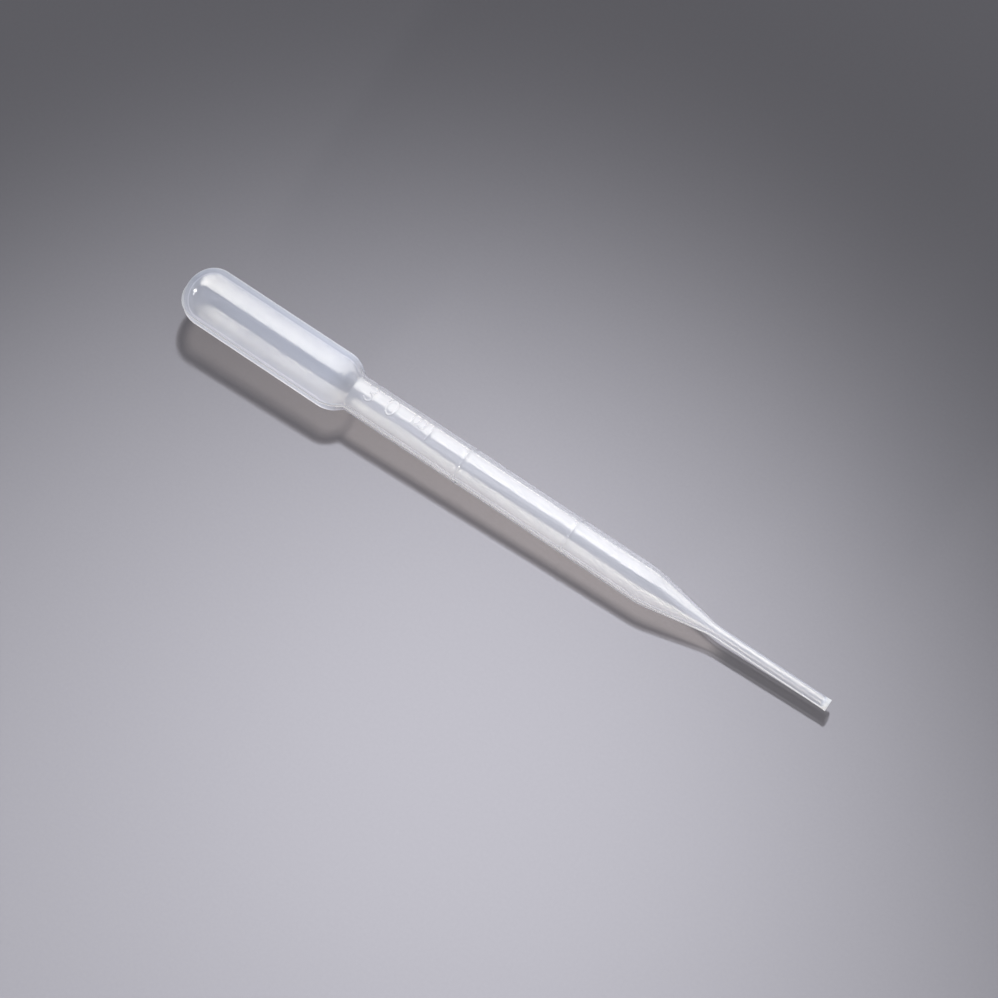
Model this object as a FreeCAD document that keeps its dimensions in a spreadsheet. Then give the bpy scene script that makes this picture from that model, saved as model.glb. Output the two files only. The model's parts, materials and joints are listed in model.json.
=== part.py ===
import FreeCAD, Part
import math
import os

import Sketcher

# Graduated transfer pipette, blow-moulded in one piece from low-density polyethylene.
#
# One thin skin makes the squeeze bulb, the shoulder, the barrel with its volume rings, the drawn
# taper and the open tip. The mould's two halves leave a thin bead all round the piece, which is
# thicker over the end of the bulb, where the mould pinched the tube shut.
#
# Body frame: X runs along the axis from the end of the bulb to the tip, and XY is the parting plane.
# Row frame: the pipette lies on Z = 0 as it comes to rest, on its bulb and on the end of its barrel.
# The tip points along +X, and the origin is under the middle of its bounding box.
# Lengths are in millimetres and angles in degrees.

NODE = "pipette"

DIMENSIONS = (
    ("bulb_diameter", 12.5, "squeeze bulb, outside"),
    ("barrel_diameter", 8.1, "graduated barrel, outside"),
    ("tip_diameter", 2.4, "drawn tip, outside"),
    ("tip_bore", 1.4, "drawn tip, inside"),
    ("bulb_wall", 0.5, "thickness of the bulb's skin"),
    ("barrel_wall", 0.5, "thickness of the barrel's skin"),
    ("bulb_length", 36.0, "end of the bulb to where its side starts to curve in"),
    ("shoulder_length", 5.3, "curved shoulder between bulb and barrel"),
    ("barrel_length", 67.8, "straight barrel"),
    ("taper_length", 18.8, "drawn taper with its two soft bends"),
    ("tip_length", 24.5, "straight tip"),
    ("crown_radius", 6.9, "middle of the bulb's rounded end"),
    ("corner_radius", 5.3, "edge of the bulb's rounded end"),
    ("shoulder_radius", 6.3, "convex bend of the shoulder"),
    ("neck_radius", 0.8, "tight concave bend at the neck"),
    ("taper_top_radius", 22.0, "soft bend where the taper starts"),
    ("taper_tip_radius", 16.0, "soft bend where the taper ends"),
    ("mark_count", 2, "volume rings, one for each millilitre"),
    ("mark_pitch", 25.6, "one volume ring to the next"),
    ("mark_rise", 15.9, "end of the barrel up to the lowest ring"),
    ("mark_height", 0.12, "how far a volume ring stands proud"),
    ("mark_width", 0.45, "a volume ring, along the barrel"),
    ("bead_height", 0.15, "how far the mould bead stands proud"),
    ("bead_width", 0.3, "mould bead, across the parting plane"),
    ("pinch_height", 0.25, "the bead over the end of the bulb"),
    ("rim_length", 0.6, "flared rim that the cut leaves at the tip"),
    ("rim_height", 0.1, "how far that rim stands proud"),
    ("rest_roll", 14.0, "roll of the parting plane as the pipette lies"),
)

# Places along the axis, from the end of the bulb.
BARREL_START = "(Dimensions.bulb_length + Dimensions.shoulder_length)"
BARREL_END = f"({BARREL_START} + Dimensions.barrel_length)"
TIP_START = f"({BARREL_END} + Dimensions.taper_length)"
TIP_END = f"({TIP_START} + Dimensions.tip_length)"
LOWEST_MARK = f"({BARREL_END} - Dimensions.mark_rise)"

# Outside radii, and the wall that the bore leaves at the tip.
BULB_R = "(Dimensions.bulb_diameter / 2)"
BARREL_R = "(Dimensions.barrel_diameter / 2)"
TIP_R = "(Dimensions.tip_diameter / 2)"
TIP_WALL = "((Dimensions.tip_diameter - Dimensions.tip_bore) / 2)"

# The ends of a sketch element, and the sketch's own axis and origin, as Sketcher numbers them.
START, END, CENTRE = 1, 2, 3
AXIS, ORIGIN = -1, -1


def dimension_sheet(doc):
    """Puts the driving dimensions in a spreadsheet, one named cell each."""
    sheet = doc.addObject("Spreadsheet::Sheet", "Dimensions")
    for row, (name, value, meaning) in enumerate(DIMENSIONS, start=1):
        sheet.set(f"A{row}", name)
        sheet.set(f"B{row}", str(value))
        sheet.set(f"C{row}", meaning)
        sheet.setAlias(f"B{row}", name)
    doc.recompute()
    return sheet


def new_sketch(body, name, role):
    """An empty sketch on one of the body's own origin planes, found by its role."""
    plane = next(item for item in body.Origin.OriginFeatures if item.Role == role)
    sketch = body.newObject("Sketcher::SketchObject", name)
    sketch.AttachmentSupport = [(plane, "")]
    sketch.MapMode = "FlatFace"
    return sketch


def worked_out(sketch, expression):
    """The present value of an expression, for a sketch's starting geometry."""
    return float(sketch.Document.Dimensions.evalExpression(expression))


def measure(sketch, name, kind, elements, expression):
    """Adds one dimension to a sketch and binds it to the spreadsheet."""
    constraint = Sketcher.Constraint(kind, *elements, worked_out(sketch, expression))
    sketch.renameConstraint(sketch.addConstraint(constraint), name)
    sketch.setExpression(f"Constraints.{name}", expression)


def join(sketch, kind, *elements):
    sketch.addConstraint(Sketcher.Constraint(kind, *elements))


def settle(sketch):
    """Solves a sketch, and stops the build if anything in it is left loose."""
    sketch.Document.recompute()
    if sketch.solve() != 0 or not sketch.FullyConstrained:
        raise RuntimeError(f"sketch {sketch.Name} isn't fully constrained")


def line(start, end):
    return Part.LineSegment(FreeCAD.Vector(*start, 0), FreeCAD.Vector(*end, 0))


def arc(centre, radius, first, last):
    """An arc that turns anticlockwise from one angle to the other, in radians."""
    circle = Part.Circle(FreeCAD.Vector(*centre, 0), FreeCAD.Vector(0, 0, 1), radius)
    return Part.ArcOfCircle(circle, first, last)


def on_arc(centre, radius, angle):
    return (centre[0] + radius * math.cos(angle), centre[1] + radius * math.sin(angle))


def slope_between(length, drop, convex, concave):
    """Slope of the straight run that joins a convex bend to a concave one further on."""
    radii = convex + concave
    reach = math.hypot(length, radii - drop)
    return math.asin(radii / reach) - math.atan2(radii - drop, length)


def skin_sizes(bulb, barrel, tip, end):
    """Sizes of the skin's outline, moved out by a distance at the bulb, the barrel, the tip and the
    end of the bulb. Convex bends grow with the move and concave ones shrink, so the bends stay
    concentric and an inward move leaves an even wall."""
    return {
        "crown": f"Dimensions.crown_radius + ({end})",
        "corner": f"Dimensions.corner_radius + ({bulb})",
        "shoulder": f"Dimensions.shoulder_radius + ({bulb})",
        "neck": f"Dimensions.neck_radius - ({barrel})",
        "taper_top": f"Dimensions.taper_top_radius + ({barrel})",
        "taper_tip": f"Dimensions.taper_tip_radius - ({tip})",
        "bulb_r": f"{BULB_R} + ({bulb})",
        "barrel_r": f"{BARREL_R} + ({barrel})",
        "tip_r": f"{TIP_R} + ({tip})",
        "bulb_reach": f"Dimensions.bulb_length + ({end})",
        "bulb_x": "Dimensions.bulb_length",
        "barrel_start_x": BARREL_START,
        "barrel_end_x": BARREL_END,
        "tip_start_x": TIP_START,
        "tip_end_x": TIP_END,
    }


def draw_skin(sketch, sizes):
    """Draws half of the outline, from the end of the bulb to the tip and back along the axis.
    Every bend is an arc that meets its neighbours at a tangent."""
    size = {name: worked_out(sketch, text) for name, text in sizes.items()}
    crown_at = (size["bulb_x"] - size["bulb_reach"] + size["crown"], 0.0)
    corner_y = size["bulb_r"] - size["corner"]
    corner_in = math.sqrt((size["crown"] - size["corner"]) ** 2 - corner_y**2)
    corner_at = (crown_at[0] - corner_in, corner_y)
    crown_edge = math.pi - math.atan2(corner_y, corner_in)
    shoulder_at = (size["bulb_x"], size["bulb_r"] - size["shoulder"])
    neck_at = (size["barrel_start_x"], size["barrel_r"] + size["neck"])
    top_at = (size["barrel_end_x"], size["barrel_r"] - size["taper_top"])
    foot_at = (size["tip_start_x"], size["tip_r"] + size["taper_tip"])
    up = math.pi / 2
    down = 3 * math.pi / 2
    fall = slope_between(
        neck_at[0] - shoulder_at[0],
        size["bulb_r"] - size["barrel_r"],
        size["shoulder"],
        size["neck"],
    )
    draw = slope_between(
        foot_at[0] - top_at[0],
        size["barrel_r"] - size["tip_r"],
        size["taper_top"],
        size["taper_tip"],
    )
    outline = [
        arc(crown_at, size["crown"], crown_edge, math.pi),
        arc(corner_at, size["corner"], up, crown_edge),
        line((corner_at[0], size["bulb_r"]), (size["bulb_x"], size["bulb_r"])),
        arc(shoulder_at, size["shoulder"], up - fall, up),
        line(
            on_arc(shoulder_at, size["shoulder"], up - fall),
            on_arc(neck_at, size["neck"], down - fall),
        ),
        arc(neck_at, size["neck"], down - fall, down),
        line((neck_at[0], size["barrel_r"]), (top_at[0], size["barrel_r"])),
        arc(top_at, size["taper_top"], up - draw, up),
        line(
            on_arc(top_at, size["taper_top"], up - draw),
            on_arc(foot_at, size["taper_tip"], down - draw),
        ),
        arc(foot_at, size["taper_tip"], down - draw, down),
        line((foot_at[0], size["tip_r"]), (size["tip_end_x"], size["tip_r"])),
        line((size["tip_end_x"], size["tip_r"]), (size["tip_end_x"], 0)),
        line((size["tip_end_x"], 0), (size["bulb_x"] - size["bulb_reach"], 0)),
    ]
    (crown, corner, bulb, shoulder, fall_run, neck, barrel, taper_top, taper, taper_tip, tip, cut,
     axis) = sketch.addGeometry(outline)
    join(sketch, "Tangent", crown, START, corner, END)
    join(sketch, "Tangent", corner, START, bulb, START)
    join(sketch, "Tangent", bulb, END, shoulder, END)
    join(sketch, "Tangent", shoulder, START, fall_run, START)
    join(sketch, "Tangent", fall_run, END, neck, START)
    join(sketch, "Tangent", neck, END, barrel, START)
    join(sketch, "Tangent", barrel, END, taper_top, END)
    join(sketch, "Tangent", taper_top, START, taper, START)
    join(sketch, "Tangent", taper, END, taper_tip, START)
    join(sketch, "Tangent", taper_tip, END, tip, START)
    join(sketch, "Coincident", tip, END, cut, START)
    join(sketch, "Coincident", cut, END, axis, START)
    join(sketch, "Coincident", axis, END, crown, END)
    for run in (bulb, barrel, tip):
        join(sketch, "Horizontal", run)
    join(sketch, "Vertical", cut)
    join(sketch, "PointOnObject", crown, CENTRE, AXIS)
    join(sketch, "PointOnObject", axis, START, AXIS)
    join(sketch, "PointOnObject", axis, END, AXIS)
    for name, bend in (
        ("crown", crown),
        ("corner", corner),
        ("shoulder", shoulder),
        ("neck", neck),
        ("taper_top", taper_top),
        ("taper_tip", taper_tip),
    ):
        measure(sketch, name, "Radius", (bend,), sizes[name])
    for name, run in (("bulb_r", bulb), ("barrel_r", barrel), ("tip_r", tip)):
        measure(sketch, name, "DistanceY", (ORIGIN, START, run, START), sizes[name])
    for name, run, which in (
        ("bulb_x", bulb, END),
        ("barrel_start_x", barrel, START),
        ("barrel_end_x", barrel, END),
        ("tip_start_x", tip, START),
        ("tip_end_x", tip, END),
    ):
        measure(sketch, name, "DistanceX", (ORIGIN, START, run, which), sizes[name])
    measure(sketch, "bulb_reach", "DistanceX", (axis, END, bulb, END), sizes["bulb_reach"])
    settle(sketch)


def draw_ridge(sketch, places):
    """Draws the section of a volume ring: a low round ridge on a base sunk into the wall."""
    at = {name: worked_out(sketch, text) for name, text in places.items()}
    left, right = at["left"], at["left"] + at["width"]
    crest_at = ((left + right) / 2, at["surface"] + at["height"] - at["round"])
    half = math.asin(at["width"] / 2 / at["round"])
    section = [
        arc(crest_at, at["round"], math.pi / 2 - half, math.pi / 2 + half),
        line((left, at["surface"]), (left, at["base"])),
        line((left, at["base"]), (right, at["base"])),
        line((right, at["base"]), (right, at["surface"])),
    ]
    crest, near, base, far = sketch.addGeometry(section)
    join(sketch, "Coincident", crest, END, near, START)
    join(sketch, "Coincident", near, END, base, START)
    join(sketch, "Coincident", base, END, far, START)
    join(sketch, "Coincident", far, END, crest, START)
    join(sketch, "Vertical", near)
    join(sketch, "Vertical", far)
    join(sketch, "Horizontal", base)
    measure(sketch, "left", "DistanceX", (ORIGIN, START, near, START), places["left"])
    measure(sketch, "width", "DistanceX", (base, START, base, END), places["width"])
    measure(sketch, "base", "DistanceY", (ORIGIN, START, base, START), places["base"])
    measure(sketch, "surface", "DistanceY", (ORIGIN, START, near, START), places["surface"])
    measure(sketch, "surface_far", "DistanceY", (ORIGIN, START, far, END), places["surface"])
    measure(sketch, "round", "Radius", (crest,), places["round"])
    settle(sketch)


def draw_rim(sketch, places):
    """Draws the section of the flared rim at the cut: a wedge that widens to the end."""
    at = {name: worked_out(sketch, text) for name, text in places.items()}
    back = (at["end"] - at["length"], at["surface"])
    section = [
        line(back, (at["end"], at["surface"] + at["height"])),
        line((at["end"], at["surface"] + at["height"]), (at["end"], at["base"])),
        line((at["end"], at["base"]), (back[0], at["base"])),
        line((back[0], at["base"]), back),
    ]
    flare, cut, base, rear = sketch.addGeometry(section)
    join(sketch, "Coincident", flare, END, cut, START)
    join(sketch, "Coincident", cut, END, base, START)
    join(sketch, "Coincident", base, END, rear, START)
    join(sketch, "Coincident", rear, END, flare, START)
    join(sketch, "Vertical", cut)
    join(sketch, "Horizontal", base)
    join(sketch, "Vertical", rear)
    measure(sketch, "end", "DistanceX", (ORIGIN, START, cut, START), places["end"])
    measure(sketch, "length", "DistanceX", (flare, START, flare, END), places["length"])
    measure(sketch, "height", "DistanceY", (flare, START, flare, END), places["height"])
    measure(sketch, "surface", "DistanceY", (ORIGIN, START, flare, START), places["surface"])
    measure(sketch, "base", "DistanceY", (ORIGIN, START, base, START), places["base"])
    settle(sketch)


def turned(body, kind, name, sketch):
    """Turns a sketch right round the body's axis, as a solid or as a cut."""
    feature = body.newObject(kind, name)
    feature.Profile = sketch
    feature.ReferenceAxis = (sketch, ["H_Axis"])
    feature.Angle = 360
    body.Document.recompute()
    return feature


def moulded_form(body):
    """The outside of the bulb, shoulder, barrel, taper and tip, solid for now."""
    sketch = new_sketch(body, "outside_outline", "XY_Plane")
    draw_skin(sketch, skin_sizes(bulb="0", barrel="0", tip="0", end="0"))
    return turned(body, "PartDesign::Revolution", "moulded_form", sketch)


def tip_rim(body):
    """The slight flare that cutting the tube to length leaves at the tip."""
    sketch = new_sketch(body, "rim_section", "XY_Plane")
    draw_rim(sketch, {
        "end": TIP_END,
        "length": "Dimensions.rim_length",
        "height": "Dimensions.rim_height",
        "surface": TIP_R,
        "base": f"{TIP_R} - {TIP_WALL} / 2",
    })
    return turned(body, "PartDesign::Revolution", "tip_rim", sketch)


def volume_rings(body):
    """One raised ring a millilitre, counted up from the lowest."""
    sketch = new_sketch(body, "ring_section", "XY_Plane")
    draw_ridge(sketch, {
        "left": f"{LOWEST_MARK} - Dimensions.mark_width / 2",
        "width": "Dimensions.mark_width",
        "surface": BARREL_R,
        "base": f"{BARREL_R} - Dimensions.barrel_wall / 2",
        "height": "Dimensions.mark_height",
        "round": "(Dimensions.mark_width ^ 2 / 4 + Dimensions.mark_height ^ 2)"
                 " / (2 * Dimensions.mark_height)",
    })
    lowest = turned(body, "PartDesign::Revolution", "lowest_ring", sketch)
    rings = body.newObject("PartDesign::LinearPattern", "volume_rings")
    rings.Originals = [lowest]
    rings.Direction = (sketch, ["H_Axis"])
    rings.Reversed = True
    rings.Mode = "Spacing"
    rings.setExpression("Offset", "Dimensions.mark_pitch")
    rings.setExpression("Occurrences", "Dimensions.mark_count")
    body.Tip = rings
    body.Document.recompute()
    return rings


def mould_bead(body):
    """The thin bead along the parting plane, on both sides and over the end of the bulb."""
    sketch = new_sketch(body, "bead_outline", "XY_Plane")
    proud = "Dimensions.bead_height"
    draw_skin(sketch, skin_sizes(bulb=proud, barrel=proud, tip=proud, end="Dimensions.pinch_height"))
    bead = body.newObject("PartDesign::Pad", "bead_one_side")
    bead.Profile = sketch
    bead.Midplane = True
    bead.setExpression("Length", "Dimensions.bead_width")
    body.Document.recompute()
    both = body.newObject("PartDesign::Mirrored", "mould_bead")
    both.Originals = [bead]
    both.MirrorPlane = (sketch, ["H_Axis"])
    body.Tip = both
    body.Document.recompute()
    return both


def cavity(body):
    """Hollows the piece to its skin, and opens the tip."""
    sketch = new_sketch(body, "inside_outline", "XY_Plane")
    draw_skin(sketch, skin_sizes(
        bulb="-Dimensions.bulb_wall",
        barrel="-Dimensions.barrel_wall",
        tip=f"-{TIP_WALL}",
        end="-Dimensions.bulb_wall",
    ))
    return turned(body, "PartDesign::Groove", "cavity", sketch)


def lay_down(body):
    """Lays the pipette on Z = 0, where it touches with the shoulder of the bulb and with the bend at
    the end of the barrel. Both are arcs in section, so the floor is their common tangent."""
    apart = "Dimensions.barrel_length + Dimensions.shoulder_length"
    wider = "(Dimensions.taper_top_radius - Dimensions.shoulder_radius)"
    lower = f"({BULB_R} - {BARREL_R} + {wider})"
    tilt = f"(atan2({lower}; {apart}) - asin({wider} / sqrt(({apart}) ^ 2 + {lower} ^ 2)))"
    height = (
        f"Dimensions.bulb_length * sin({tilt}) + Dimensions.shoulder_radius"
        f" + ({BULB_R} - Dimensions.shoulder_radius) * cos({tilt})"
    )
    bulb_end = f"(Dimensions.crown_radius * (cos({tilt}) - 1) - Dimensions.pinch_height)"
    tip_end = f"({TIP_END} * cos({tilt}) + ({TIP_R} + Dimensions.rim_height) * sin({tilt}))"
    body.setExpression(
        "Placement",
        f"placement(vector(-({bulb_end} + {tip_end}) / 2; 0; {height});"
        f" rotation(vector(0; 1; 0); {tilt}) * rotation(vector(1; 0; 0); -Dimensions.rest_roll))",
    )
    body.Document.recompute()


def checked_shape(doc, body):
    """The finished shape, or a plain error if anything in the document failed."""
    for item in doc.Objects:
        if {"Invalid", "Error"} & set(item.State):
            raise RuntimeError(f"{item.Name} failed: {item.State}")
    shape = body.Shape
    if shape.isNull() or not shape.isValid() or len(shape.Solids) != 1:
        raise RuntimeError(f"{body.Label} isn't one valid solid")
    return shape


def main():
    doc = FreeCAD.newDocument("transfer_pipette")
    dimension_sheet(doc)
    body = doc.addObject("PartDesign::Body", NODE)
    body.Label = NODE
    for step in (moulded_form, tip_rim, volume_rings, mould_bead):
        before = body.Shape.Volume if body.Tip else 0.0
        if step(body).Shape.Volume <= before:
            raise RuntimeError(f"{step.__name__} added nothing")
    before = body.Shape.Volume
    if cavity(body).Shape.Volume >= before:
        raise RuntimeError("cavity cut nothing")
    lay_down(body)
    shape = checked_shape(doc, body)
    os.makedirs("parts", exist_ok=True)
    shape.exportStep(f"parts/{NODE}.step")


main()
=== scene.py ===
"""Looks of the transfer pipette.

One clear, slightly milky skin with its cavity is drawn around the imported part, on pale paper.
"""

import json
import math

import bpy
from mathutils import Matrix, Vector, noise

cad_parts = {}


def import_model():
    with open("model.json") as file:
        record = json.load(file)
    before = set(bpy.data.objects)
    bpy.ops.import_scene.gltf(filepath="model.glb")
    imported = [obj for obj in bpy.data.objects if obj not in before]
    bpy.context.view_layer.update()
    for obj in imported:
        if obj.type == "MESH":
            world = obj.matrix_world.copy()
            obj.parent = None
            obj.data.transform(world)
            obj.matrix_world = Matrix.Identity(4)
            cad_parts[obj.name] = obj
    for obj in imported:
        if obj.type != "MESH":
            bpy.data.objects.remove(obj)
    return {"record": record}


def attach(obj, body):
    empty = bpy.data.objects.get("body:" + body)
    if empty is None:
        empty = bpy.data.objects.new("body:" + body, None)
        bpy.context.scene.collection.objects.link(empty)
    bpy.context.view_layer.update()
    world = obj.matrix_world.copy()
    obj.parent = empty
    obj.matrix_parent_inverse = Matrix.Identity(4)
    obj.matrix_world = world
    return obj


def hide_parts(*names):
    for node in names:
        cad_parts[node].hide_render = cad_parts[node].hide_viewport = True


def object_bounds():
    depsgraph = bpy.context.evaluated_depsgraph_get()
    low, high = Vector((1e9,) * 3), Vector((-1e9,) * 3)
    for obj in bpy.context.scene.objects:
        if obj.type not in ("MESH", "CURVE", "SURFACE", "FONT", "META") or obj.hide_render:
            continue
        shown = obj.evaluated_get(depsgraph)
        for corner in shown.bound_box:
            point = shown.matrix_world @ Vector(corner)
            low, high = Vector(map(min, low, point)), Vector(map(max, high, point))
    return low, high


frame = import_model()
cad_low, cad_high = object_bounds()

MM = 0.001

# Sizes of the moulding in millimetres, as in the part's source.
BULB_R, BARREL_R, TIP_R, BORE_R = 6.25, 4.05, 1.2, 0.7
WALL = 0.5
BULB_END = 36.0
SHOULDER_LENGTH, BARREL_LENGTH, TAPER_LENGTH, TIP_LENGTH = 5.3, 67.8, 18.8, 24.5
BARREL_START = BULB_END + SHOULDER_LENGTH
BARREL_END = BARREL_START + BARREL_LENGTH
TIP_START = BARREL_END + TAPER_LENGTH
TIP_END = TIP_START + TIP_LENGTH
CROWN, CORNER, SHOULDER, NECK = 6.9, 5.3, 6.3, 0.8
TAPER_TOP, TAPER_TIP = 22.0, 16.0
LOWER_RING, RING_SPACING = 15.9, 25.6
RINGS = (BARREL_END - LOWER_RING, BARREL_END - LOWER_RING - RING_SPACING)
RING_HEIGHT, RING_WIDTH = 0.12, 0.45
BEAD_HEIGHT, BEAD_HALF = 0.15, 0.15
PINCH_HEIGHT = 0.25
RIM_LENGTH, RIM_HEIGHT = 0.6, 0.1
REST_ROLL = math.radians(14.0)

# The moulded capacity stands on the barrel by the neck, about half-way between the two beads.
TEXT = "3.0 ml"
TEXT_START, TEXT_HEIGHT, TEXT_RAISE = 43.6, 3.6, 0.13
TEXT_ANGLE = math.pi / 2 + math.radians(7)

# Spacing of the mesh along the pipette, and the steps of its bends.
SPACING, TIP_SPACING, LONG_GAP = 0.9, 1.0, 1.2
TEXT_SPACING, TEXT_MARGIN, TEXT_DENSE = 0.115, 0.4, math.radians(31)
RING_STEPS = (-1, -0.6, -0.3, 0, 0.3, 0.6, 1)
DOME_STEPS, BEND_STEPS, NECK_STEPS = 14, 12, 8
RIM_CHAMFER, BORE_CHAMFER = 0.05, 0.04

# Its steps around the pipette: from the far bead to the numbers, over them, on to the near bead, and
# below. The steps by a bead are in half widths of it, and take a limited share of a small radius.
# Then how far the bead's foot reaches, in half widths, and how much of that is flat.
FAR_STEPS, TEXT_STEPS, NEAR_STEPS, LOWER_STEPS = 12, 42, 20, 44
SEAM_STEPS, SEAM_MOST = (0.0, 0.4, 0.75, 1.0, 1.35, 1.9), 0.55
SEAM_FOOT, SEAM_FLAT = 1.35, 0.35

# The skin is drawn this far inside the part, and the blown wall isn't quite even: the height of its
# waves outside, what the bulb has more of them, and inside, with the fine ones along the near side.
# FINENESS is how often they come, along the pipette and around it.
SKIN_IN = 0.006
WAVE_OUT, WAVE_BULB, WAVE_IN, WAVE_NEAR = 0.002, 0.008, 0.04, 0.01
FINENESS_OUT, FINENESS_IN, FINENESS_NEAR = (0.09, 0.9), (0.06, 1.7), (0.025, 8)

# The clear plastic, and the faint grain of its gloss, which is fine across the pipette.
SKIN_COLOUR, SKIN_ROUGHNESS, SKIN_IOR = (1.0, 0.993, 0.974, 1), 0.045, 1.51
GRAIN, GRAIN_SCALE, GRAIN_DEPTH = 0.06, (12, 900, 900), 0.00004

# Where one part's look or form gives way to the next, as a place and a length. The length starts
# at the place for those called TURN, and ends there for those called END.
DOME_TURN, DRAWN_TURN, NARROW_TURN = (2, 12), (BULB_END, 6), (TIP_START - 8, 12)
BULB_TURN, STOUT_TURN, CUT_TURN = (BULB_END, 5), (TIP_START - 3, 6), (TIP_END - RIM_LENGTH - 0.2, 0.2)
WAVE_END, BULB_WAVE_END, GRAIN_END = (BARREL_END + 8, 12), (BARREL_START, 10), (BARREL_END + 2, 6)
PINCH_END = (5.6, 5.6)

# The haze in the skin, bluish where it is thin and white where it is thick. Its shares are those
# seen square on (HAZE), with what the tip has less, and at a low angle (LOW), and the angles that
# they belong to, from 0 square on to 1 along the wall. The beads and the cut end are nearly white.
HAZE_COLOUR, HAZE_WHITE = (0.8, 0.845, 0.99, 1), (0.98, 0.98, 0.99, 1)
HAZE_DOME, HAZE_BULB, HAZE_BARREL, HAZE_CLEARER = 0.32, 0.43, 0.36, 0.08
LOW_BULB, LOW_BARREL, LOW_TIP = 0.58, 0.12, 0.3
HAZE_ANGLE, LOW_ANGLE = 0.2, 0.6
HAZE_BEAD, BEAD_WHITE = 0.97, 0.9

# The shares from which it whitens and at which it is white, how much whiter the drawn barrel is,
# and the share of its light that goes onwards, with what it has more where it is thick.
WHITE_FROM, WHITE_ALL, WHITE_DRAWN = 0.5, 1.1, 0.3
ONWARDS_LEAST, ONWARDS_MORE = 0.2, 0.2

# How much more haze shows at each angle: a line where the cavity starts, and then the edge.
RIM_LINES = ((0.0, 0.0), (0.36, 0.0), (0.415, 0.4), (0.47, 0.0), (0.66, 0.0), (0.8, 0.5), (1.0, 0.5))

# What the skin leaves of a lamp's light, square on and at a low angle, and what the stout tip leaves
# of that. The bulb has a small share of the tip's stoutness. Then what the skin leaves of the light
# from all round, and the share of that light that it scatters.
SHADOW_TINTS = ((0.15, (0.88, 0.857, 0.83, 1)), (0.6, (0.55, 0.53, 0.52, 1)))
SHADOW_STOUT, STOUT_BULB = (0.62, 0.62, 0.62, 1), 0.05
ROUND_CLEAR, ROUND_GLOW = (0.88, 0.87, 0.86, 1), 0.08

# The panel behind, in metres and radians. Its strength is given for its foot and its upper edge,
# and the gloss inside the skin sees a little more of it. Each dimmer is a place along it, a length
# and the share of the light that is lost beyond.
SOFTBOX_LOW, SOFTBOX_HIGH, SOFTBOX_INSIDE = 3.2, 10.5, 0.2
SOFTBOX_COLOUR = (1.0, 0.965, 0.89, 1)
SOFTBOX_AWAY, SOFTBOX_LIFT = 0.6, 0.005
SOFTBOX_TOP, SOFTBOX_FOOT, SOFTBOX_ROWS = math.radians(100), math.radians(178), 24
SOFTBOX_LEFT, SOFTBOX_STEP, SOFTBOX_COLUMNS = -1.05, 0.05, 30
SOFTBOX_DIP, DIP_START, DIP_LENGTH = math.radians(9), 0.08, 0.12
SOFTBOX_DIMMERS = ((-0.21, 0.08, 0.37), (0.02, 0.12, 0.25))
SOFTBOX_FADES, SOFTBOX_FULL = (0.3, 0.15), 0.15

# The key lamp and its core: name, watts, cone in degrees and the middle of the pool of light. Both
# stand a metre away at one place on the upper far side.
KEY_PLACE, KEY_SOFT = Vector((-0.245, 0.637, 1.0)).normalized(), 0.0352
KEY_COLOUR = (0.93, 0.96, 1.0)
SPOTS = (
    ("key", 52.2, 21.94, (0.0422, -0.1348, 0)),
    ("core", 12.8, 9.11, (0.0281, -0.0469, 0)),
)

# A low lamp from the near side, and two small bare ones: name, direction from the dome and width.
EDGE_FROM, EDGE_STRENGTH, EDGE_WIDTH = (0.0, -1.0, 0.045), 2.2, math.radians(5)
EDGE_COLOUR = (1.0, 0.97, 0.93)
GLINTS = (("glint", (-0.84, -0.27, 0.46), 0.11), ("small_glint", (-0.82, -0.42, 0.38), 0.07))
GLINT_STRENGTH, GLINT_AWAY, GLINT_LIFT = 45.0, 0.6, 0.1

# The light from all round, and the paper: the tones of its grain, half its side, how far it lies
# below the part, and how fine the grain is.
WORLD_STRENGTH, WORLD_COLOUR = 0.272, (0.9, 0.94, 1.0, 1)
PAPER_TONES = ((0.0, (0.386, 0.368, 0.393, 1)), (1.0, (0.408, 0.388, 0.413, 1)))
PAPER_HALF, PAPER_DOWN, PAPER_GRAIN = 3.0, 0.00002, 1500

# The camera looks down from the near side, turned so that the bulb is at the upper left.
CAMERA_ROUND, CAMERA_UP = math.radians(34.65), math.radians(70.0)
CAMERA_AWAY, CAMERA_LENS, CAMERA_SENSOR = 0.475, 86.42, 36.0
CAMERA_AIM = Vector((0.00003, -0.0004, 0))


def mount(name):
    """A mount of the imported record, by name."""
    return next(item for item in frame["record"]["mounts"] if item["name"] == name)


# ---------------------------------------------------------------- the skin's outline


def slope_between(length, drop, convex, concave):
    """Slope of the straight run that joins a convex bend to a concave one further on."""
    radii = convex + concave
    reach = math.hypot(length, radii - drop)
    return math.asin(radii / reach) - math.atan2(radii - drop, length)


def bend(centre, radius, first, last, steps, side):
    """Points along an arc, each with the outward normal of the solid there."""
    points = []
    for i in range(steps + 1):
        angle = first + (last - first) * i / steps
        c, s = math.cos(angle), math.sin(angle)
        points.append((centre[0] + radius * c, centre[1] + radius * s, side * c, side * s))
    return points


def straight(x0, x1, radius, spacing):
    """Points along a run of one radius, its ends left to the bends beside it."""
    count = max(2, round((x1 - x0) / spacing))
    return [(x0 + (x1 - x0) * i / count, radius, 0.0, 1.0) for i in range(1, count)]


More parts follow.
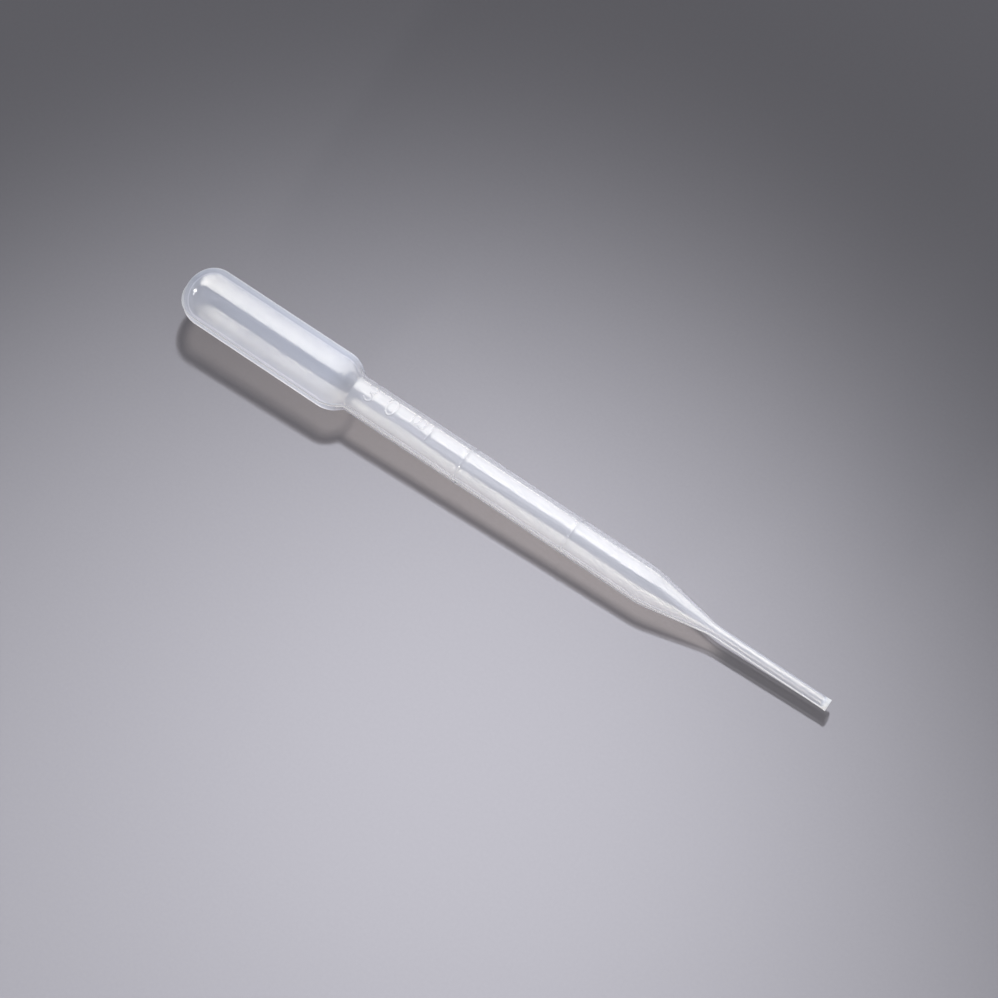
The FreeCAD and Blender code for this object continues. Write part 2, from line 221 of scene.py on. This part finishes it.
def outline(out, tip_out, stops=()):
    """The skin's outline from the bulb's end to the tip, moved out, with more places on the barrel."""
    crown, corner, shoulder = CROWN + out, CORNER + out, SHOULDER + out
    neck, top, foot = NECK - out, TAPER_TOP + out, TAPER_TIP - tip_out
    bulb_r, barrel_r, tip_r = BULB_R + out, BARREL_R + out, TIP_R + tip_out
    corner_y = bulb_r - corner
    corner_in = math.sqrt((crown - corner) ** 2 - corner_y**2)
    corner_x = CROWN - corner_in
    edge = math.pi - math.atan2(corner_y, corner_in)
    fall = slope_between(BARREL_START - BULB_END, bulb_r - barrel_r, shoulder, neck)
    draw = slope_between(TIP_START - BARREL_END, barrel_r - tip_r, top, foot)
    up, down = math.pi / 2, 3 * math.pi / 2
    line = bend((CROWN, 0.0), crown, math.pi, edge, DOME_STEPS, 1)[1:]
    line += bend((corner_x, corner_y), corner, edge, up, DOME_STEPS, 1)[1:]
    line += straight(corner_x, BULB_END, bulb_r, SPACING)
    line += bend((BULB_END, bulb_r - shoulder), shoulder, up, up - fall, BEND_STEPS, 1)
    line += bend((BARREL_START, barrel_r + neck), neck, down - fall, down, NECK_STEPS, -1)
    places = sorted({round(x, 4) for x in stops if BARREL_START < x < BARREL_END})
    edges = [BARREL_START] + places + [BARREL_END]
    for x0, x1 in zip(edges, edges[1:]):
        if x1 - x0 > LONG_GAP:
            line += straight(x0, x1, barrel_r, SPACING)
        if x1 < BARREL_END:
            line.append((x1, barrel_r, 0.0, 1.0))
    line += bend((BARREL_END, barrel_r - top), top, up, up - draw, BEND_STEPS, 1)
    line += bend((TIP_START, tip_r + foot), foot, down - draw, down, BEND_STEPS, -1)
    line += straight(TIP_START, TIP_END - RIM_LENGTH, tip_r, TIP_SPACING)
    return line


# ---------------------------------------------------------------- raised numbers


def arc_stroke(cx, cy, rx, ry, first, last, steps=14):
    """Points along part of an ellipse, between two angles in degrees."""
    return [
        (cx + rx * math.cos(math.radians(first + (last - first) * i / steps)),
         cy + ry * math.sin(math.radians(first + (last - first) * i / steps)))
        for i in range(steps + 1)
    ]


# Each sign is a width and the strokes of a round-ended cutter, on a height of 1.
SIGNS = {
    "3": (0.62, [
        arc_stroke(0.29, 0.74, 0.25, 0.26, 150, -90),
        arc_stroke(0.29, 0.25, 0.29, 0.25, 90, -150),
    ]),
    ".": (0.12, [[(0.05, 0.03), (0.07, 0.03)]]),
    "0": (0.66, [arc_stroke(0.32, 0.5, 0.3, 0.5, 0, 360, 28)]),
    "m": (0.84, [
        [(0.0, 0.0), (0.0, 0.62)],
        arc_stroke(0.2, 0.42, 0.2, 0.2, 180, 0) + [(0.4, 0.0)],
        arc_stroke(0.6, 0.42, 0.2, 0.2, 180, 0) + [(0.8, 0.0)],
    ]),
    "l": (0.1, [[(0.05, 0.0), (0.05, 1.0)]]),
    " ": (0.3, []),
}
SIGN_GAP, STROKE_FLAT, STROKE_SIDE = 0.34, 0.07, 0.15


def text_strokes():
    """Strokes of the text in millimetres along and across the barrel."""
    strokes, x = [], 0.0
    for sign in TEXT:
        width, lines = SIGNS[sign]
        for line in lines:
            strokes.append([
                (TEXT_START + (x + px) * TEXT_HEIGHT, (py - 0.5) * TEXT_HEIGHT) for px, py in line
            ])
        x += width + SIGN_GAP
    return strokes


STROKES = text_strokes()
TEXT_END = max(x for line in STROKES for x, _ in line)


def stroke_distance(x, y):
    """Distance from a point to the nearest stroke."""
    best = math.inf
    for line in STROKES:
        for (ax, ay), (bx, by) in zip(line, line[1:]):
            dx, dy = bx - ax, by - ay
            t = max(0.0, min(1.0, ((x - ax) * dx + (y - ay) * dy) / (dx * dx + dy * dy)))
            best = min(best, math.hypot(x - ax - t * dx, y - ay - t * dy))
    return best


# ---------------------------------------------------------------- the skin


def smooth(t):
    """Goes smoothly from 0 to 1 as t does, and stays there."""
    t = max(0.0, min(1.0, t))
    return t * t * (3 - 2 * t)


def beyond(x, place, length):
    """0 up to a place, 1 once a length past it, and smooth between."""
    return smooth((x - place) / length)


def before(x, place, length):
    """1 until a length before a place, 0 from there on, and smooth between."""
    return smooth((place - x) / length)


def around(radius):
    """Angles of one section, closer together at the two beads and where the numbers stand."""
    foot = math.asin(min(SEAM_MOST, SEAM_STEPS[-1] * BEAD_HALF / radius))
    steps = [foot * s / SEAM_STEPS[-1] for s in SEAM_STEPS]
    text_from, text_to = TEXT_ANGLE - TEXT_DENSE, TEXT_ANGLE + TEXT_DENSE
    near = math.pi - foot
    upper = [foot + (text_from - foot) * i / FAR_STEPS for i in range(1, FAR_STEPS)]
    upper += [text_from + 2 * TEXT_DENSE * i / TEXT_STEPS for i in range(TEXT_STEPS + 1)]
    upper += [near - (near - text_to) * i / NEAR_STEPS for i in range(NEAR_STEPS - 1, 0, -1)]
    lower = [math.pi + foot + (near - foot) * i / LOWER_STEPS for i in range(1, LOWER_STEPS)]
    return (
        steps
        + upper
        + [math.pi - a for a in reversed(steps)]
        + [math.pi + a for a in steps[1:]]
        + lower
        + [2 * math.pi - a for a in reversed(steps[1:])]
    )


def bead_share(z):
    """How much of the bead's full height stands at a distance from the parting plane."""
    near = min(1.0, abs(z) / (SEAM_FOOT * BEAD_HALF))
    return 1 - beyond(near, SEAM_FLAT, 1 - SEAM_FLAT)


def mark_rise(x, angle):
    """How far the rings and numbers stand proud at a place."""
    rise = 0.0
    for ring in RINGS:
        u = abs(x - ring) / (RING_WIDTH / 2)
        if u < 1:
            rise = RING_HEIGHT * (1 - u * u)
    if 0 < angle < math.pi and TEXT_START - TEXT_MARGIN < x < TEXT_END + TEXT_MARGIN:
        distance = stroke_distance(x, (angle - TEXT_ANGLE) * BARREL_R)
        rise = max(rise, TEXT_RAISE * (1 - beyond(distance, STROKE_FLAT, STROKE_SIDE)))
    return rise


def haze_shares(x, white):
    """Shares of haze on the outside, seen square on and at a low angle: a bead is nearly white."""
    drawn, narrow = beyond(x, *DRAWN_TURN), beyond(x, *NARROW_TURN)
    square = HAZE_DOME + (HAZE_BULB - HAZE_DOME) * beyond(x, *DOME_TURN)
    square += (HAZE_BARREL - HAZE_BULB) * drawn - HAZE_CLEARER * narrow
    low = LOW_BULB + (LOW_BARREL - LOW_BULB) * drawn + (LOW_TIP - LOW_BARREL) * narrow
    return square + (HAZE_BEAD - square) * white, low + (HAZE_BEAD - low) * white


def cut_white(x):
    """How nearly white the plastic is made by the cut end of the tip."""
    return beyond(x, *CUT_TURN)


def stoutness(x):
    """How much of a lamp's light the skin keeps, next to its wall: the tip most, the bulb a little."""
    return beyond(x, *STOUT_TURN) + STOUT_BULB * (1 - beyond(x, *BULB_TURN))


def unevenness(x, angle, fineness):
    """Smooth noise over the wall, on both sides of 0."""
    along, across = fineness
    return noise.noise(Vector((x * along, math.cos(angle) * across, math.sin(angle) * across)))


def outside_rise(x, angle, z):
    """How far the outside stands proud of its outline at a place, and its shares of haze."""
    wave = (WAVE_OUT + WAVE_BULB * before(x, *BULB_WAVE_END)) * before(x, *WAVE_END)
    wave *= 1 + unevenness(x, angle, FINENESS_OUT)
    height = BEAD_HEIGHT + (PINCH_HEIGHT - BEAD_HEIGHT) * before(x, *PINCH_END)
    rise = max(height * bead_share(z), mark_rise(x, angle))
    white = max(1 - smooth(abs(z) / BEAD_HALF - BEAD_WHITE), cut_white(x))
    return rise - wave - SKIN_IN, haze_shares(x, white)


def inside_rise(x, angle, z):
    """How far the cavity's wall stands off its outline at a place, and its shares of haze."""
    near_side = beyond(x, *DRAWN_TURN) * smooth(-2.5 * math.cos(angle))
    wave = WAVE_IN * unevenness(x, angle, FINENESS_IN)
    wave += WAVE_NEAR * near_side * unevenness(x, angle, FINENESS_NEAR)
    white = HAZE_BEAD * cut_white(x)
    return before(x, *WAVE_END) * wave, (white, white)


def skin_lines():
    """The outlines of the outside and of the cavity, each as far as the cut at the tip."""
    stops = [ring + RING_WIDTH / 2 * step for ring in RINGS for step in RING_STEPS]
    text_from, text_to = TEXT_START - TEXT_MARGIN, TEXT_END + TEXT_MARGIN
    count = round((text_to - text_from) / TEXT_SPACING)
    stops += [text_from + i * TEXT_SPACING for i in range(count)]
    outside = outline(0.0, 0.0, stops)
    outside += [
        (TIP_END - RIM_LENGTH, TIP_R, 0.0, 1.0),
        (TIP_END - RIM_LENGTH / 2, TIP_R + RIM_HEIGHT / 2, 0.0, 1.0),
        (TIP_END - RIM_CHAMFER, TIP_R + RIM_HEIGHT - 2 * SKIN_IN, 0.0, 1.0),
        (TIP_END, TIP_R + RIM_HEIGHT - RIM_CHAMFER, 0.0, 1.0),
    ]
    inside = outline(-WALL, BORE_R - TIP_R)
    inside += [
        (TIP_END - RIM_CHAMFER, BORE_R, 0.0, 1.0),
        (TIP_END, BORE_R + BORE_CHAMFER, 0.0, 1.0),
    ]
    return outside, inside


def skin_mesh(name):
    """The whole skin as one closed mesh: the outside, the cut at the tip and the cavity."""
    vertices, haze, sections = [], [], []

    def section(x, radius, nx, nr, angles, rise):
        """One ring of vertices, each moved out from the outline by its own rise."""
        first = len(vertices)
        for angle in angles:
            up, hazy = rise(x, angle, radius * math.sin(angle))
            r = radius + nr * up
            vertices.append((x + nx * up, r * math.cos(angle), r * math.sin(angle)))
            haze.append(hazy)
        sections.append(range(first, len(vertices)))

    outside, inside = skin_lines()
    for x, radius, nx, nr in outside:
        section(x, radius, nx, nr, around(radius), outside_rise)
    for x, radius, nx, nr in reversed(inside):
        section(x, radius, nx, nr, around(radius + WALL), inside_rise)

    faces = []
    width = len(sections[0])
    for low, high in zip(sections, sections[1:]):
        for j in range(width):
            k = (j + 1) % width
            faces.append((low[j], low[k], high[k], high[j]))
    outer_pole, inner_pole = len(vertices), len(vertices) + 1
    vertices += [(-PINCH_HEIGHT + 2 * SKIN_IN, 0.0, 0.0), (WALL, 0.0, 0.0)]
    haze += [haze_shares(0.0, 0.0), (0.0, 0.0)]
    faces += [(sections[0][j], outer_pole, sections[0][(j + 1) % width]) for j in range(width)]
    faces += [(sections[-1][(j + 1) % width], inner_pole, sections[-1][j]) for j in range(width)]
    mesh = bpy.data.meshes.new(name)
    mesh.from_pydata(vertices, [], faces)
    mesh.shade_smooth()
    layers = {
        "stout": [stoutness(x) for x, _, _ in vertices],
        "grained": [GRAIN * before(x, *GRAIN_END) for x, _, _ in vertices],
        "haze_square": [square for square, _ in haze],
        "haze_low": [low for _, low in haze],
        "drawn": [WHITE_DRAWN * beyond(x, *DRAWN_TURN) for x, _, _ in vertices],
    }
    for layer, values in layers.items():
        mesh.attributes.new(layer, "FLOAT", "POINT").data.foreach_set("value", values)
    return mesh


def row_matrix():
    """Takes the moulding's own frame in millimetres to the row frame in metres."""
    grip = mount("barrel_grip")
    along = Vector(grip["axis"]).normalized()
    middle = (BARREL_START + BARREL_END) / 2
    origin = Vector(grip["pos_m"]) - along * middle * MM
    across = Vector((0, 0, 1)).cross(along).normalized()
    lift = along.cross(across)
    side = across * math.cos(REST_ROLL) - lift * math.sin(REST_ROLL)
    top = along.cross(side)
    turn = Matrix((along, side, top)).transposed().to_4x4()
    return Matrix.Translation(origin) @ turn @ Matrix.Scale(MM, 4)


# ---------------------------------------------------------------- materials


def empty_material(name):
    """A new material: itself, its nodes and the input for its surface."""
    material = bpy.data.materials.new(name)
    material.use_nodes = True
    tree = material.node_tree
    tree.nodes.clear()
    return material, tree, tree.nodes.new("ShaderNodeOutputMaterial").inputs["Surface"]


def fill(tree, made, inputs):
    """Gives a node's inputs plain values or the outputs of other nodes."""
    for name, value in inputs.items():
        if isinstance(value, bpy.types.NodeSocket):
            tree.links.new(value, made.inputs[name])
        else:
            made.inputs[name].default_value = value


def node(tree, kind, inputs=None):
    """A new shader node with its inputs filled."""
    made = tree.nodes.new("ShaderNode" + kind)
    fill(tree, made, inputs or {})
    return made


def attribute(tree, name):
    """A value that the mesh carries, by its name."""
    made = node(tree, "Attribute")
    made.attribute_name = name
    return made.outputs["Fac"]


def calculate(tree, operation, values, clamp=False):
    """The result of a calculation on plain values or the outputs of other nodes."""
    made = node(tree, "Math")
    made.operation = operation
    made.use_clamp = clamp
    fill(tree, made, dict(enumerate(values)))
    return made.outputs["Value"]


def ramp(tree, value, stops):
    """The colour at a value on the way through stops, each a position and a colour."""
    made = node(tree, "ValToRGB", {"Fac": value})
    elements = made.color_ramp.elements
    elements[0].position, elements[0].color = stops[0]
    elements[1].position, elements[1].color = stops[-1]
    for position, colour in stops[1:-1]:
        elements.new(position).color = colour
    return made.outputs["Color"]


def mix_colours(tree, share, first, second, blend="MIX"):
    """Goes from the first colour to the second, or multiplies them, by a share."""
    made = node(tree, "Mix")
    made.data_type = "RGBA"
    made.blend_type = blend
    fill(tree, made, {"Factor": share, "A": first, "B": second})
    return made.outputs["Result"]


def mix_shaders(tree, share, first, second):
    """Goes from the first shader to the second by a share."""
    return node(tree, "MixShader", {"Fac": share, 1: first, 2: second}).outputs["Shader"]


def clear_skin(tree):
    """The clear plastic, with the faint grain along the pipette that drawing leaves in its gloss."""
    coords = node(tree, "TexCoord").outputs["Object"]
    stretch = node(tree, "Mapping", {"Vector": coords, "Scale": GRAIN_SCALE}).outputs["Vector"]
    grain = node(tree, "TexNoise", {"Vector": stretch, "Detail": 3}).outputs["Fac"]
    bump = node(tree, "Bump", {
        "Height": grain,
        "Strength": attribute(tree, "grained"),
        "Distance": GRAIN_DEPTH,
    })
    return node(tree, "BsdfPrincipled", {
        "Base Color": SKIN_COLOUR,
        "Transmission Weight": 1.0,
        "Roughness": SKIN_ROUGHNESS,
        "IOR": SKIN_IOR,
        "Normal": bump.outputs["Normal"],
    }).outputs["BSDF"]


def haze_amount(tree, facing):
    """The share of haze that shows at a place and an angle, with the whiter lines along the wall."""
    low_angle = attribute(tree, "haze_low")
    share = node(tree, "MapRange", {
        "Value": facing,
        "From Min": HAZE_ANGLE,
        "From Max": LOW_ANGLE,
        "To Min": attribute(tree, "haze_square"),
        "To Max": low_angle,
    }).outputs["Result"]
    lines = ramp(tree, facing, [(place, (more, more, more, 1)) for place, more in RIM_LINES])
    return calculate(tree, "MULTIPLY_ADD", (lines, low_angle, share), clamp=True)


def haze_scatter(tree, amount):
    """What the haze scatters to both sides: whiter, and more of it onwards, where it is thick."""
    thick = node(tree, "MapRange", {
        "Value": amount,
        "From Min": WHITE_FROM,
        "From Max": WHITE_ALL,
    }).outputs["Result"]
    white = calculate(tree, "ADD", (thick, attribute(tree, "drawn")), clamp=True)
    colour = mix_colours(tree, white, HAZE_COLOUR, HAZE_WHITE)
    front = node(tree, "BsdfDiffuse", {"Color": colour}).outputs["BSDF"]
    back = node(tree, "BsdfTranslucent", {"Color": colour}).outputs["BSDF"]
    onwards = calculate(tree, "MULTIPLY_ADD", (thick, ONWARDS_MORE, ONWARDS_LEAST))
    return mix_shaders(tree, onwards, front, back)


def polyethylene():
    """Low-density polyethylene: clear, with a thin milky haze."""
    material, tree, surface = empty_material("polyethylene")
    facing = node(tree, "LayerWeight").outputs["Facing"]
    path = node(tree, "LightPath")
    amount = haze_amount(tree, facing)
    haze = haze_scatter(tree, amount)
    plastic = mix_shaders(tree, amount, clear_skin(tree), haze)
    # Light from a lamp goes on through the skin, less of it where it meets the skin at a low angle.
    tint = ramp(tree, facing, SHADOW_TINTS)
    left = mix_colours(tree, attribute(tree, "stout"), tint, SHADOW_STOUT, "MULTIPLY")
    for_lamps = node(tree, "BsdfTransparent", {"Color": left}).outputs["BSDF"]
    plastic = mix_shaders(tree, path.outputs["Is Shadow Ray"], plastic, for_lamps)
    # So does the light from all round on its way to the floor.
    passed = node(tree, "BsdfTransparent", {"Color": ROUND_CLEAR}).outputs["BSDF"]
    for_floor = mix_shaders(tree, ROUND_GLOW, passed, haze)
    plastic = mix_shaders(tree, path.outputs["Is Diffuse Ray"], plastic, for_floor)
    tree.links.new(plastic, surface)
    return material


def floor_material():
    """Plain pale grey paper with a very fine grain."""
    material, tree, surface = empty_material("studio_paper")
    coords = node(tree, "TexCoord").outputs["Object"]
    grain = node(tree, "TexNoise", {"Vector": coords, "Scale": PAPER_GRAIN}).outputs["Fac"]
    paper = node(tree, "BsdfPrincipled", {
        "Base Color": ramp(tree, grain, PAPER_TONES),
        "Roughness": 0.9,
        "Specular IOR Level": 0.0,
    })
    tree.links.new(paper.outputs["BSDF"], surface)
    return material


def glowing_material(name, colour):
    """A new material that gives light: itself, its nodes and the one that takes its strength."""
    material, tree, surface = empty_material(name)
    emission = node(tree, "Emission", {"Color": colour})
    tree.links.new(emission.outputs["Emission"], surface)
    return material, tree, emission


def softbox_material():
    """The panel's light, by the glow that its mesh carries."""
    material, tree, emission = glowing_material("softbox", SOFTBOX_COLOUR)
    power = node(tree, "MapRange", {
        "Value": attribute(tree, "glow"),
        "To Min": SOFTBOX_LOW,
        "To Max": SOFTBOX_HIGH,
    }).outputs["Result"]
    through = node(tree, "LightPath").outputs["Is Transmission Ray"]
    more = calculate(tree, "MULTIPLY_ADD", (through, SOFTBOX_INSIDE, 1.0))
    fill(tree, emission, {"Strength": calculate(tree, "MULTIPLY", (power, more))})
    return material


# ---------------------------------------------------------------- the scene


def placed(name, data):
    """A new object of the scene."""
    made = bpy.data.objects.new(name, data)
    bpy.context.scene.collection.objects.link(made)
    return made


def aimed(name, data, direction, distance, target):
    """A new lamp, panel or camera that faces the target from a direction."""
    made = placed(name, data)
    back = Vector(direction).normalized()
    made.location = target + back * distance
    made.rotation_mode = "QUATERNION"
    made.rotation_quaternion = (-back).to_track_quat("-Z", "Y")
    return made


def square_mesh(name, half, z):
    """A level square."""
    mesh = bpy.data.meshes.new(name)
    corners = [(-half, -half, z), (half, -half, z), (half, half, z), (-half, half, z)]
    mesh.from_pydata(corners, [], [(0, 1, 2, 3)])
    return mesh


def build_pipette():
    mesh = skin_mesh("skin")
    mesh.transform(row_matrix())
    mesh.materials.append(polyethylene())
    skin = placed("skin", mesh)
    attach(skin, "root")
    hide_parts("pipette")


def build_floor():
    mesh = square_mesh("floor", PAPER_HALF, cad_low.z - PAPER_DOWN)
    mesh.materials.append(floor_material())
    floor = placed("floor", mesh)


def only_for_gloss(lamp):
    """Hides a lamp's surface from the camera, and keeps it from casting shadows or lighting the floor."""
    lamp.visible_camera = False
    lamp.visible_diffuse = False
    lamp.visible_shadow = False


def not_for_gloss(lamp):
    """Keeps a lamp out of reflections and of what is seen through the skin."""
    lamp.visible_glossy = False
    lamp.visible_transmission = False


def build_softbox(middle):
    """A long soft panel from above to low behind, bright along its upper edge, for the gloss alone."""
    columns = [SOFTBOX_LEFT + SOFTBOX_STEP * i for i in range(SOFTBOX_COLUMNS)]
    vertices, glow = [], []
    for i in range(SOFTBOX_ROWS + 1):
        for x in columns:
            top = SOFTBOX_TOP + SOFTBOX_DIP * beyond(x, DIP_START, DIP_LENGTH)
            angle = top + (SOFTBOX_FOOT - top) * i / SOFTBOX_ROWS
            y, z = -math.cos(angle) * SOFTBOX_AWAY, math.sin(angle) * SOFTBOX_AWAY
            vertices.append(middle + Vector((x, y, z)))
            light = 1 - beyond(i / SOFTBOX_ROWS, SOFTBOX_FULL, 1 - SOFTBOX_FULL)
            light *= beyond(x, columns[0], SOFTBOX_FADES[0]) * before(x, columns[-1], SOFTBOX_FADES[1])
            dimmed = sum(lost * beyond(x, place, length) for place, length, lost in SOFTBOX_DIMMERS)
            glow.append(light * (1 - dimmed))
    row = len(columns)
    faces = [
        (row * i + j, row * i + j + 1, row * (i + 1) + j + 1, row * (i + 1) + j)
        for i in range(SOFTBOX_ROWS) for j in range(row - 1)
    ]
    mesh = bpy.data.meshes.new("softbox")
    mesh.from_pydata(vertices, [], faces)
    mesh.attributes.new("glow", "FLOAT", "POINT").data.foreach_set("value", glow)
    mesh.materials.append(softbox_material())
    panel = placed("softbox", mesh)
    only_for_gloss(panel)


def glint(name, direction, side, target):
    """A small bare lamp for the gloss of the outside: a point of light on the end of the bulb."""
    mesh = square_mesh(name, side / 2, 0.0)
    material, tree, emission = glowing_material(name, (1, 1, 1, 1))
    fill(tree, emission, {"Strength": GLINT_STRENGTH})
    mesh.materials.append(material)
    lamp = aimed(name, mesh, direction, GLINT_AWAY, target)
    only_for_gloss(lamp)
    lamp.visible_transmission = False


def spot(name, watts, cone, place, pool):
    """A soft spot at a place on the upper far side, which lights a pool on the floor."""
    data = bpy.data.lights.new(name, "SPOT")
    data.energy = watts
    data.color = KEY_COLOUR
    data.shadow_soft_size = KEY_SOFT
    data.spot_size = math.radians(cone)
    data.spot_blend = 1.0
    not_for_gloss(aimed(name, data, place - pool, (place - pool).length, pool))


def build_lights(target):
    for name, watts, cone, pool in SPOTS:
        spot(name, watts, cone, target + KEY_PLACE, target + Vector(pool))
    edge = bpy.data.lights.new("edge", "SUN")
    edge.angle = EDGE_WIDTH
    edge.energy = EDGE_STRENGTH
    edge.color = EDGE_COLOUR
    not_for_gloss(aimed("edge", edge, EDGE_FROM, 1.0, target))
    build_softbox(target + Vector((0, 0, SOFTBOX_LIFT)))
    dome = target + Vector((cad_low.x + CROWN * MM, 0, (BULB_R + GLINT_LIFT) * MM))
    for name, direction, side in GLINTS:
        glint(name, direction, side, dome)
    world = bpy.data.worlds.new("studio")
    world.use_nodes = True
    background = world.node_tree.nodes["Background"]
    background.inputs["Color"].default_value = WORLD_COLOUR
    background.inputs["Strength"].default_value = WORLD_STRENGTH
    bpy.context.scene.world = world


def build_camera(target):
    data = bpy.data.cameras.new("camera")
    data.sensor_width = CAMERA_SENSOR
    data.lens = CAMERA_LENS
    data.clip_start, data.clip_end = 0.01, 20
    direction = Vector((
        math.sin(CAMERA_ROUND) * math.cos(CAMERA_UP),
        -math.cos(CAMERA_ROUND) * math.cos(CAMERA_UP),
        math.sin(CAMERA_UP),
    ))
    bpy.context.scene.camera = aimed("camera", data, direction, CAMERA_AWAY, target)


build_pipette()
build_floor()
base = Vector(((cad_low.x + cad_high.x) / 2, (cad_low.y + cad_high.y) / 2, cad_low.z))
build_lights(base)
build_camera(base + CAMERA_AIM)
bpy.context.scene.view_settings.view_transform = "Standard"
